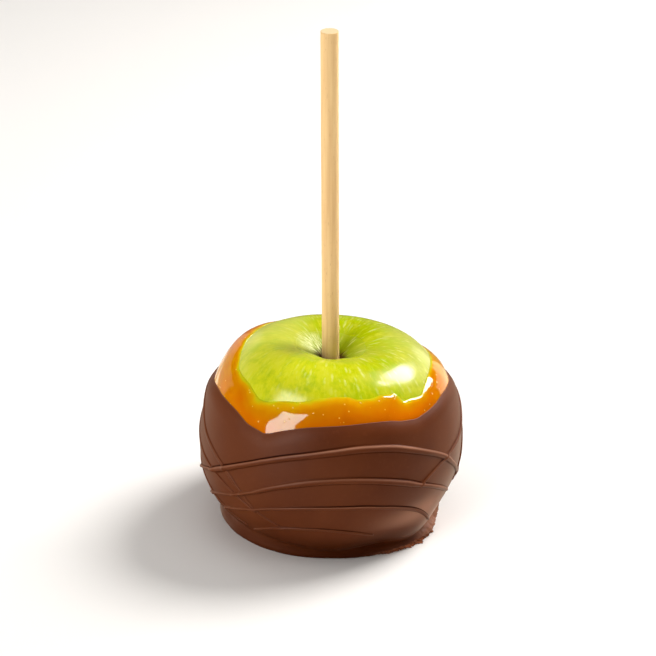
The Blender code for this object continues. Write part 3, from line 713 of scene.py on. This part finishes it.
# the drizzle: it was thrown over the apple in three passes, one from the front, one from the left, one from the right
drizzle = dict(
    width=0.95 * mm, height=0.70 * mm, step=0.55 * mm, wobble=0.05, wobbleSize=11 * mm,
    tip=1.4 * mm, swelling=0.10, depth=0.45 * mm, seed=60,
    # where columns stand on each side of the crest: 0.72 is the foot that shows, one width out, and what is past
    # it is buried
    across=(0.2, 0.4, 0.55, 0.65, 0.72, 0.78, 0.85, 0.95, 1.08, 1.2), backColumns=5, pathSteps=12,
    # each strand: share of the height, the painted shade of the crevice along its upper side as (facing, half-width in
    # degrees, depth), the depth of the painted shade along its lower side, how strong the painted highlight on its
    # crest is, and knots of (facing, polar angle, share of the width)
    strands=(
        (0.45, (215, 30, 0.4), 0.3, 0.25, (
            (72, 90, 0.8), (95, 75, 0.9), (125, 64, 1.0), (150, 61.5, 1.0), (165, 63, 1.0), (177, 66, 0.9),
            (187, 70.5, 0.9), (198, 76.5, 0.9), (210, 81.5, 0.9), (220, 86, 0.9), (228, 93, 0.8), (234, 103, 0.7),
            (240, 110.5, 0.7), (248, 117, 0.6),
        )),
        (0.5, (215, 30, 0.4), 0.3, 0.25, (
            (66, 106, 0.8), (95, 87, 0.9), (125, 77, 1.0), (150, 74.5, 1.2), (165, 76.5, 1.2), (177, 80.5, 1.2),
            (187, 85, 1.1), (197, 88.3, 1.0), (207, 90.5, 0.9), (214, 92.3, 0.9), (220, 95.5, 0.9), (227, 100.3, 0.8),
            (233.5, 104.8, 0.7), (237, 108, 0.6),
        )),
        (0.5, (215, 30, 0.4), 0.3, 0.25, (
            (78, 116, 0.8), (110, 102, 0.9), (140, 98, 1.0), (165, 99, 1.0), (185, 102.5, 1.0), (198, 108.5, 0.9),
            (210, 117, 0.9), (220, 124.5, 0.8), (228, 130.5, 0.7),
        )),
        (1.0, (236, 42, 1.3), 0.5, 0.9, (
            (181, 111, 0.8), (190, 104.5, 0.9), (198, 98.6, 0.9), (206, 92.8, 0.95), (217.5, 85.8, 0.95),
            (233.6, 77.4, 1.0), (247, 71.8, 1.0), (259.6, 68.4, 1.1), (272, 66.3, 1.3), (284, 65.6, 1.45),
            (296, 67, 1.4), (307, 70.4, 1.3), (319.5, 76.3, 1.15), (328, 81.4, 1.1), (335, 87.3, 1.1),
            (341, 95.0, 1.1), (347, 104, 1.1), (352, 112, 1.0),
        )),
        (1.0, (305, 34, 0.9), 0.5, 0.6, (
            (198, 121, 0.7), (211, 109.6, 0.8), (223.8, 100, 0.85), (236.3, 90.3, 0.9), (247.7, 84.4, 0.95),
            (260, 80.9, 1.0), (272, 79.6, 1.05), (284, 80.5, 1.15), (296, 83.4, 1.15), (308, 88.4, 1.15),
            (319.3, 96.3, 1.15), (329.4, 106.0, 1.1), (339.5, 117.5, 0.9),
        )),
        (0.75, (288, 32, 1.6), 0.1, 0.55, (
            (214, 121, 0.7), (222, 115, 0.8), (232, 107.8, 0.8), (244.9, 100.2, 0.9), (258, 95.9, 1.0),
            (270, 95.1, 1.1), (282, 96.4, 1.15), (294, 100.6, 1.1), (304, 106.6, 1.0), (313, 114.3, 0.8),
            (319, 122, 0.7), (324, 131, 0.6),
        )),
        (0.6, (268, 18, 1.0), 0.1, 0.35, (
            (231, 132, 0.6), (236, 127.0, 0.7), (244, 119.9, 0.8), (253, 116.2, 0.85), (263, 115.2, 0.9),
            (272, 116.4, 0.9), (281, 119.8, 0.8), (290, 125.5, 0.6),
        )),
        (0.8, (330, 25, 0.3), 0.9, 0.6, (
            (312.5, 93.5, 0.7), (318, 89.2, 0.7), (326, 86.3, 0.7), (337, 83.8, 0.7), (346, 82.2, 0.75),
            (354, 79.5, 0.8), (362, 74.5, 0.9), (372, 70.0, 0.9), (388, 68.5, 0.9), (408, 70, 0.9), (430, 76, 0.8),
            (455, 87, 0.7),
        )),
        (0.7, (352, 20, 0.3), 0.3, 0.3, (
            (350, 113, 0.7), (354.5, 104.5, 0.8), (358.5, 95, 0.9), (364, 87.5, 0.9), (374, 83.0, 0.9),
            (388, 82.0, 0.9), (408, 84.5, 0.9), (430, 91, 0.8), (450, 100, 0.7),
        )),
        (0.6, (350, 20, 0.2), 0.2, 0.2, (
            (345, 114, 0.6), (358, 107.5, 0.8), (372, 104.6, 0.9), (392, 104, 0.9), (415, 107, 0.8), (446, 117, 0.6),
        )),
    ),
)


def strandShell(strand, seed, laid):
    # A bead is carried along a soft path through the knots. Across it, a ridge with a rounded top stands over
    # a narrow foot that sinks into the coat, and where it crosses a strand laid before, it climbs over it.
    d = drizzle
    tall, upper, lower, paintedHighlightShare, knots = strand
    path = softPath(knots, d["pathSteps"])
    azimuth, polar = np.radians(path[:, 0]), np.radians(path[:, 1])
    rough = placed(azimuth, *chocolateSurface(azimuth, polar, 0.0))
    run = np.concatenate([[0], np.cumsum(np.linalg.norm(np.diff(rough, axis=0), axis=1))])
    along = np.linspace(0, run[-1], int(run[-1] / d["step"]))
    azimuth, polar, share = (np.interp(along, run, values) for values in (azimuth, polar, path[:, 2]))
    line = np.stack([along, 0 * along, 0 * along], axis=-1)
    polar = polar + np.radians(d["wobble"]) * waves(line, d["wobbleSize"], seed)
    radius, height = chocolateSurface(azimuth, polar, 0.0)
    centre = placed(azimuth, radius, height)
    # the ends shrink to a round tip, and the strand swells and thins a little along its way
    fromTip = np.clip(np.minimum(along, run[-1] - along) / d["tip"], 0, 1)
    tip = np.sqrt(np.clip(1 - (1 - fromTip) ** 2, 0.01, 1))
    size = tip * share * (1 + d["swelling"] * waves(line, 16 * mm, seed + 1))
    rise = tip * tall * d["height"] * (1 + d["swelling"] * waves(line, 13 * mm, seed + 2))
    climb = np.zeros(len(along))
    for other in laid:
        gap = np.linalg.norm(centre[:, None] - other[None], axis=-1).min(axis=1)
        climb = np.maximum(climb, 0.7 * d["height"] * np.exp(-((gap / (1.1 * d["width"])) ** 2)))
    # steps across the strand, as shifts of azimuth and polar angle on the coat
    alongAzimuth, alongPolar = np.gradient(azimuth) * radius, np.gradient(polar) * fruit["radius"]
    norm = np.hypot(alongAzimuth, alongPolar)
    crossAzimuth, crossPolar = alongPolar / norm, -alongAzimuth / norm
    half, backColumns = np.array(d["across"]), d["backColumns"]
    lean = np.concatenate([-half[::-1], [0], half])
    lift = np.clip(1 - np.abs(lean / 0.74) ** 2.6, 0, 1) ** 0.6
    sink = 0.03 * mm - 0.2 * mm * smoothStep(np.abs(lean), 1.08, 1.2)
    back = 0.9 * np.linspace(1, -1, backColumns + 2)[1:-1]
    reach = np.concatenate([lean, back])[None, :] * size[:, None] * d["width"] / 0.72
    buried = np.full((len(along), backColumns), -d["depth"])
    stand = np.concatenate([lift * rise[:, None] + sink, buried], axis=1)
    stand = stand + climb[:, None] * np.concatenate([1 - 0.5 * lean**2, np.zeros(backColumns)])[None, :]
    strandAzimuth = azimuth[:, None] + crossAzimuth[:, None] * reach / radius[:, None]
    strandPolar = polar[:, None] + crossPolar[:, None] * reach / fruit["radius"]
    grid = placed(strandAzimuth, *chocolateSurface(strandAzimuth, strandPolar, stand))
    # relief: painted shade in the crevices along both feet counts up, and a painted highlight on the crest of the
    # upper side, strongest where the strand is wide, counts down
    deep = np.where(lean > 0, bumps(azimuth, [upper])[:, None], lower)
    paintedCreviceShade = smoothStep(np.abs(lean), 0.60, 0.74) * (1 - smoothStep(np.abs(lean), 0.88, 1.12)) * deep
    paintedHighlight = smoothStep(lean, 0.05, 0.40) * (1 - smoothStep(lean, 0.55, 0.68))
    paintedHighlightStrength = paintedHighlightShare * np.clip(1.6 * share - 1.1, 0.25, 1)
    relief = np.pad(paintedCreviceShade - paintedHighlightStrength[:, None] * paintedHighlight, ((0, 0), (0, backColumns))) * tip[:, None]
    return grid, centre, relief


def drizzlePiece():
    # one shell for each strand, each climbing over the ones laid before it
    shells, laid, reliefs = [], [], []
    for index, strand in enumerate(drizzle["strands"]):
        grid, centre, relief = strandShell(strand, drizzle["seed"] + 3 * index, laid)
        shells.append((grid, grid[0].mean(axis=0), grid[-1].mean(axis=0)))
        laid.append(centre)
        reliefs.append(relief)
    whole = [np.zeros(grid.shape[:2]) for grid, _, _ in shells]
    return closedMesh("chocolateDrizzle", shells, {"broken": whole, "relief": reliefs})


standFor(drizzlePiece(), "chocolate_coat", chocolateLook)

# the studio: a pale floor, soft lamps and the camera
studio = dict(
    floor="#EEEAE5", floorSize=14, surround="#FFFFFF", surroundStrength=0.02, white="#FFFFFF", cream="#FFF1DA",
    lampsAimAt=(0, 0, 0.04), lens=135, sensor=36, cameraPlace=(-0.94 * mm, -0.8035, 0.4623), cameraDown=25.8,
    # lamps that light matt surfaces, and gleams that only show in glossy ones: (name, shape, azimuth it stands
    # at, elevation, distance, width, height, watts, colour)
    lamps=(
        ("keyLamp", "ELLIPSE", 33, 48, 1.1, 0.60, 0.46, 15.2, "white"),
        ("topFill", "RECTANGLE", 0, 89, 1.3, 1.2, 1.2, 6.5, "white"),
        ("windowFill", "RECTANGLE", 228, 22, 1.0, 0.52, 0.88, 6.2, "white"),
        ("leftFill", "RECTANGLE", 160, -5, 1.1, 0.60, 0.80, 6.8, "white"),
        ("rightFill", "RECTANGLE", 350, 0, 1.1, 0.60, 0.80, 1.0, "white"),
        ("lowRightFill", "RECTANGLE", 345, -32, 1.1, 0.80, 0.60, 4.2, "white"),
    ),
    gleams=(
        ("keyGleam", "ELLIPSE", 31, 33.5, 1.08, 0.50, 0.46, 9.5, "white"),
        ("sideGleam", "RECTANGLE", 7, 45, 1.1, 0.07, 0.17, 1.4, "white"),
        ("windowGleam", "RECTANGLE", 225, 24, 0.98, 0.52, 0.88, 9.5, "white"),
        ("leftWall", "RECTANGLE", 127, 0, 1.1, 0.95, 0.90, 1.6, "cream"),
        ("backWall", "RECTANGLE", 87, 3, 1.25, 1.6, 1.0, 1.0, "cream"),
        ("rightWall", "RECTANGLE", 48, -5, 1.2, 0.8, 0.9, 3.4, "cream"),
        ("leftTable", "RECTANGLE", 140, -24, 1.15, 0.9, 0.5, 2.0, "cream"),
        ("backTable", "RECTANGLE", 90, -28, 1.15, 0.9, 0.5, 1.1, "cream"),
        ("rightTable", "RECTANGLE", 36, -46, 1.1, 1.2, 0.8, 8.6, "cream"),
    ),
)


def hangLamp(name, shape, azimuth, elevation, distance, width, height, watts, colour):
    # a flat lamp that faces the apple from that azimuth and elevation
    lamp = bpy.data.lights.new(name, "AREA")
    lamp.shape, lamp.size, lamp.size_y, lamp.energy = shape, width, height, watts
    lamp.color = linear(studio[colour])[:3]
    holder = bpy.data.objects.new(name, lamp)
    a, e = np.radians(azimuth), np.radians(elevation)
    aim = Vector(studio["lampsAimAt"])
    holder.location = aim + distance * Vector((np.cos(a) * np.cos(e), np.sin(a) * np.cos(e), np.sin(e)))
    holder.rotation_euler = (holder.location - aim).to_track_quat("Z", "Y").to_euler()
    bpy.context.scene.collection.objects.link(holder)
    return holder


def studioPieces():
    scene = bpy.context.scene
    bpy.ops.mesh.primitive_plane_add(size=studio["floorSize"])
    floor = bpy.context.object
    floor.name = "floor"
    material, tree, shader = newMaterial("paintedFloor", studio["floor"])
    fitNode(tree, shader, {"Base Color": linear(studio["floor"]), "Roughness": 0.9}, {})
    floor.data.materials.append(material)
    floor.visible_glossy, floor.visible_shadow = False, False
    for lamp in studio["lamps"]:
        hangLamp(*lamp).visible_glossy = False
    for gleam in studio["gleams"]:
        hangLamp(*gleam).visible_diffuse = False
    world = bpy.data.worlds.new("surround")
    world.use_nodes = True
    world.cycles_visibility.glossy = False
    scene.world = world
    backdrop = world.node_tree.nodes["Background"]
    backdrop.inputs["Color"].default_value = linear(studio["surround"])
    backdrop.inputs["Strength"].default_value = studio["surroundStrength"]
    scene.view_settings.view_transform = "Standard"
    camera = bpy.data.cameras.new("camera")
    camera.lens, camera.sensor_width = studio["lens"], studio["sensor"]
    holder = bpy.data.objects.new("camera", camera)
    holder.location = studio["cameraPlace"]
    holder.rotation_euler = Euler((np.radians(90 - studio["cameraDown"]), 0, 0))
    scene.collection.objects.link(holder)
    scene.camera = holder


studioPieces()
print("studio ready")
